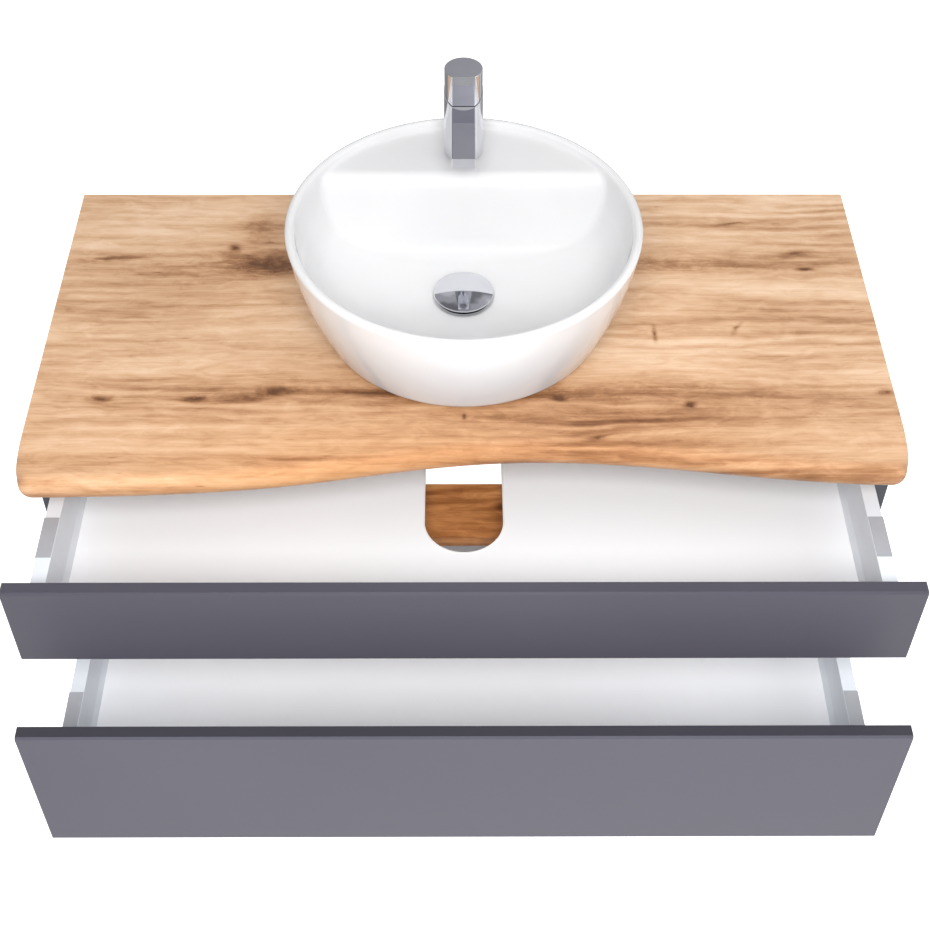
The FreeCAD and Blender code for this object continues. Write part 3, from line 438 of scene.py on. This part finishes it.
# --- basin ---------------------------------------------------------------------------------------
BASIN_LOW, BASIN_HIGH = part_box("basin")
BASIN_X = (BASIN_LOW.x + BASIN_HIGH.x) / 2
BASIN_Y = (BASIN_LOW.y + BASIN_HIGH.y) / 2
OUTER_R = (BASIN_HIGH.x - BASIN_LOW.x) / 2
RIM_R = 5.5 * MM
FOOT_R = 160 * MM            # outer edge of the flat foot
DRAIN_R = 23 * MM
HEIGHT = BASIN_HIGH.z - worktop_top
SEAL = BASIN_LOW.z - worktop_top
DECK_H = 130 * MM            # tap deck above the worktop
DECK_Y = -139 * MM           # its front edge
DECK_EDGE_R = 18 * MM
DECK_LEAN = 12 * MM
DECK_FOOT_R = 34 * MM
FLOOR_H = 24 * MM


def curve_through(points, count):
    """Smooth Catmull-Rom curve through (r, h) points, as an array of count points."""
    p = np.array([points[0], *points, points[-1]], float)
    t = np.linspace(0, len(points) - 1 - 1e-9, count)
    i = t.astype(int)
    u = (t - i)[:, None]
    a, b, c, d = (p[i + k] for k in range(4))
    return 0.5 * (2 * b + (c - a) * u + (2 * a - 5 * b + 4 * c - d) * u ** 2
                  + (3 * b - a - 3 * c + d) * u ** 3)


def arc_points(centre, radius, start, end, count):
    """Points on a circle in the (r, h) plane, from one angle to another, in degrees."""
    angles = np.radians(np.linspace(start, end, count))
    return np.stack([centre[0] + radius * np.cos(angles), centre[1] + radius * np.sin(angles)], 1)


def even(points, count):
    """The same polyline with count points spaced evenly along it."""
    steps = np.linalg.norm(np.diff(points, axis=0), axis=1)
    run = np.concatenate([[0], np.cumsum(steps)])
    wanted = np.linspace(0, run[-1], count)
    return np.stack([np.interp(wanted, run, points[:, k]) for k in range(points.shape[1])], 1)


def deck_height(y):
    """Height of the tap deck, its rounded edge and the leaning wall below it, by place along Y."""
    lean = math.atan2(DECK_LEAN, DECK_H - DECK_EDGE_R - FLOOR_H - DECK_FOOT_R)
    wall_y = DECK_Y - DECK_LEAN
    edge_centre = (DECK_Y + DECK_EDGE_R, DECK_H - DECK_EDGE_R)
    edge = arc_points(edge_centre, DECK_EDGE_R, 90, 180 - math.degrees(lean), 24)
    foot_centre = (wall_y - DECK_FOOT_R, FLOOR_H + DECK_FOOT_R)
    foot = arc_points(foot_centre, DECK_FOOT_R, -math.degrees(lean), -66, 24)
    tail = foot[-1] + np.array([[-0.2, -0.2 * math.tan(math.radians(24))]])
    outline = np.concatenate([[[0.1, DECK_H]], edge, foot, tail])[::-1]
    return np.interp(y, outline[:, 0], outline[:, 1])


def blended_max(a, b, size):
    """The larger of two heights, with a rounded changeover of that size."""
    return (a + b + np.sqrt((a - b) ** 2 + size ** 2)) / 2


def basin_ring(angle):
    """Closed section of the basin at one bearing, as (r, h) points from the drain hole round to it."""
    rim_h = HEIGHT - RIM_R
    bowl = curve_through(
        [(36 * MM, FLOOR_H), (80 * MM, 26 * MM), (135 * MM, 35 * MM), (171 * MM, 55 * MM),
         (189 * MM, 92 * MM), (OUTER_R - 2 * RIM_R, rim_h)], 1600)
    y = BASIN_Y + bowl[:, 0] * math.sin(angle)
    raised = blended_max(bowl[:, 1], deck_height(y), 5 * MM)
    fade = np.clip((rim_h - bowl[:, 1]) / (6 * MM), 0, 1)
    bowl[:, 1] += (raised - bowl[:, 1]) * fade
    inner = even(bowl, 100)
    rim = arc_points((OUTER_R - RIM_R, rim_h), RIM_R, 180, 0, 13)[1:-1]
    wall = even(curve_through(
        [(OUTER_R, rim_h), (201.5 * MM, 102 * MM), (193.5 * MM, 70 * MM), (183 * MM, 38 * MM),
         (171.5 * MM, 9 * MM)], 400), 36)
    foot = even(curve_through([(171.5 * MM, 9 * MM), (167 * MM, 3.4 * MM), (FOOT_R, SEAL)], 60), 8)[1:]
    hollow = np.linspace(FOOT_R - 3 * MM, DRAIN_R, 600)
    under = np.interp(hollow, [DRAIN_R, 0.1, 0.138, 0.148, 0.154], [0.012, 0.014, 0.022, 0.022, SEAL])
    behind = np.clip((BASIN_Y + hollow * math.sin(angle) + 0.126) / (4 * MM), 0, 1)
    behind *= np.clip((FOOT_R - 3 * MM - hollow) / (4 * MM), 0, 1)
    under += (DECK_H - 12 * MM - under) * behind
    under = even(np.stack([hollow, under], 1), 60)
    hole = np.array([(DRAIN_R, 20 * MM), (DRAIN_R + 1 * MM, 22 * MM), (34 * MM, 22 * MM)])
    return np.concatenate([hole, inner, rim, wall, foot, under])


def grid_object(name, rings, material, body):
    """Mesh of quads over a grid of points that closes on itself both ways."""
    count, size = len(rings), len(rings[0])
    faces = []
    for i in range(count):
        j = (i + 1) % count
        for k in range(size):
            m = (k + 1) % size
            faces.append((i * size + k, i * size + m, j * size + m, j * size + k))
    mesh = bpy.data.meshes.new(name)
    mesh.from_pydata([tuple(p) for ring in rings for p in ring], [], faces)
    mesh.validate()
    mesh.polygons.foreach_set("use_smooth", [True] * len(mesh.polygons))
    mesh.materials.append(material)
    made = bpy.data.objects.new(name, mesh)
    bpy.context.scene.collection.objects.link(made)
    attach(made, body)
    return made


def make_basin():
    """The glazed basin, which stands for the CAD node."""
    bearings = np.linspace(0, 2 * math.pi, 240, endpoint=False)
    rings = []
    for angle in bearings:
        section = basin_ring(angle)
        x = BASIN_X + section[:, 0] * math.cos(angle)
        y = BASIN_Y + section[:, 0] * math.sin(angle)
        rings.append(np.stack([x, y, worktop_top + section[:, 1]], 1))
    basin = grid_object("glazed_basin", rings, GLAZE, "carcass")
    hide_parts("basin")


# --- floor, light and camera ---------------------------------------------------------------------
FLOOR_Z = worktop_top - 0.85
LIGHTS = [                   # name, place, target, size in metres, watts, whether it shows in reflections
    ("camera_side", (0.0, -2.0, 1.65), (0, -0.4, 0), (1.2, 0.9), 50, False),
    ("back", (0.2, 0.9, 3.0), (0, -0.3, 0), (3.0, 2.4), 13, False),
    ("over", (0.0, -1.0, 3.4), (0, -0.3, 0), (2.4, 2.0), 7, False),
    ("low", (0.0, -2.4, 0.25), (0, -0.3, 0.15), (1.8, 0.5), 7, False),
    ("left", (-2.6, -1.0, 1.3), (0, -0.4, 0), (1.6, 1.6), 2, True),
    ("right", (2.6, -1.0, 1.3), (0, -0.4, 0), (1.6, 1.6), 14, True),
]
AMBIENT = 0.42               # light from all round, where 1 shows as white


def make_floor():
    """Large pale floor under the hanging vanity."""
    bpy.ops.mesh.primitive_plane_add(size=14, location=(0, -1.0, FLOOR_Z))
    floor = bpy.context.object
    floor.name = "floor"
    s = Shader("pale_floor", Roughness=0.8, Emission_Strength=0.75)
    s.surface.inputs["Emission Color"].default_value = (1, 1, 1, 1)
    cloud = s.noise(s.place, (2.0, 2.0, 2.0), 2.0)
    floor.data.materials.append(s.out(Base_Color=s.ramp(cloud, [(0.3, 0.9), (0.7, 0.93)])))
    floor.visible_glossy = False


def make_world():
    """White surroundings, with a softer grey studio in what reflects."""
    world = bpy.data.worlds.new("studio")
    bpy.context.scene.world = world
    world.use_nodes = True
    tree = world.node_tree
    tree.nodes.clear()
    new = tree.nodes.new
    link = tree.links.new

    def mixed(factor, low, high):
        made = new("ShaderNodeMix")
        made.data_type = "RGBA"
        sockets = (made.inputs["Factor"], made.inputs[6], made.inputs[7])
        for value, socket in zip((factor, low, high), sockets):
            if isinstance(value, tuple):
                socket.default_value = value
            else:
                link(value, socket)
        return made.outputs[2]

    def ramped(factor, stops):
        made = new("ShaderNodeValToRGB")
        for index, (position, colour) in enumerate(stops):
            elements = made.color_ramp.elements
            stop = elements[index] if index < 2 else elements.new(position)
            stop.position = position
            stop.color = colour
        link(factor, made.inputs[0])
        return made.outputs["Color"]

    def grey(value, blue=1.0):
        return (value, value, value * blue, 1.0)

    path = new("ShaderNodeLightPath")
    place = new("ShaderNodeTexCoord").outputs["Generated"]
    split = new("ShaderNodeSeparateXYZ")
    link(place, split.inputs[0])
    level = new("ShaderNodeMapRange")
    level.inputs["From Min"].default_value = -1.0
    link(split.outputs["Z"], level.inputs["Value"])
    blur = new("ShaderNodeTexNoise")
    blur.inputs["Scale"].default_value = 4.0
    blur.inputs["Detail"].default_value = 2.0
    link(place, blur.inputs["Vector"])
    height = ramped(level.outputs[0], [
        (0.0, grey(1.0)), (0.08, grey(0.9)), (0.13, grey(0.3)), (0.46, grey(0.7)),
        (0.53, grey(0.42, 1.06)), (0.66, grey(0.24, 1.08)), (0.86, grey(0.34, 1.06)), (0.95, grey(0.26, 1.1)),
        (1.0, grey(0.45))])
    shapes = ramped(blur.outputs["Fac"], [
        (0.36, grey(0.05)), (0.46, grey(0.5)), (0.58, grey(0.5)), (0.66, grey(0.85))])
    studio = new("ShaderNodeMix")
    studio.data_type = "RGBA"
    studio.blend_type = "OVERLAY"
    studio.inputs["Factor"].default_value = 0.6
    link(height, studio.inputs[6])
    link(shapes, studio.inputs[7])
    side = new("ShaderNodeMapRange")
    for socket, value in (("From Min", -0.5), ("From Max", 0.5), ("To Min", 0.85), ("To Max", 1.5)):
        side.inputs[socket].default_value = value
    link(split.outputs["X"], side.inputs["Value"])
    sided = new("ShaderNodeVectorMath")
    sided.operation = "SCALE"
    link(studio.outputs[2], sided.inputs[0])
    link(side.outputs[0], sided.inputs["Scale"])
    lit = mixed(path.outputs["Is Glossy Ray"], grey(AMBIENT), sided.outputs[0])
    seen = mixed(path.outputs["Is Camera Ray"], lit, grey(1.0))
    back = new("ShaderNodeBackground")
    link(seen, back.inputs["Color"])
    link(back.outputs[0], new("ShaderNodeOutputWorld").inputs[0])


def area_light(name, place, target, size, power, mirrored):
    """Soft rectangular light."""
    data = bpy.data.lights.new(name, "AREA")
    data.shape = "RECTANGLE"
    data.size, data.size_y = size
    data.energy = power
    light = bpy.data.objects.new(name, data)
    bpy.context.scene.collection.objects.link(light)
    light.location = place
    light.rotation_euler = (Vector(target) - Vector(place)).to_track_quat("-Z", "Y").to_euler()
    light.visible_glossy = mirrored


CAMERA_PLACE = Vector((-0.0078, -1.6403, 1.3487))
CAMERA_PITCH = 47.611        # degrees below the horizon
CAMERA_YAW = -0.421
CAMERA_ROLL = -0.246
CAMERA_LENS = 59.77


def make_camera():
    data = bpy.data.cameras.new("camera")
    data.lens = CAMERA_LENS
    data.sensor_width = 36.0
    data.clip_start = 0.05
    camera = bpy.data.objects.new("camera", data)
    bpy.context.scene.collection.objects.link(camera)
    yaw, pitch, roll = (math.radians(a) for a in (CAMERA_YAW, CAMERA_PITCH, CAMERA_ROLL))
    turn = (
        Matrix.Rotation(yaw, 4, "Z") @ Matrix.Rotation(math.pi / 2 - pitch, 4, "X")
        @ Matrix.Rotation(-roll, 4, "Z"))
    camera.matrix_world = Matrix.Translation(CAMERA_PLACE) @ turn
    bpy.context.scene.camera = camera


make_camera()
dress_cad_nodes()
make_basin()
make_floor()
make_world()
for light in LIGHTS:
    area_light(*light)
bpy.context.scene.view_settings.view_transform = "Standard"
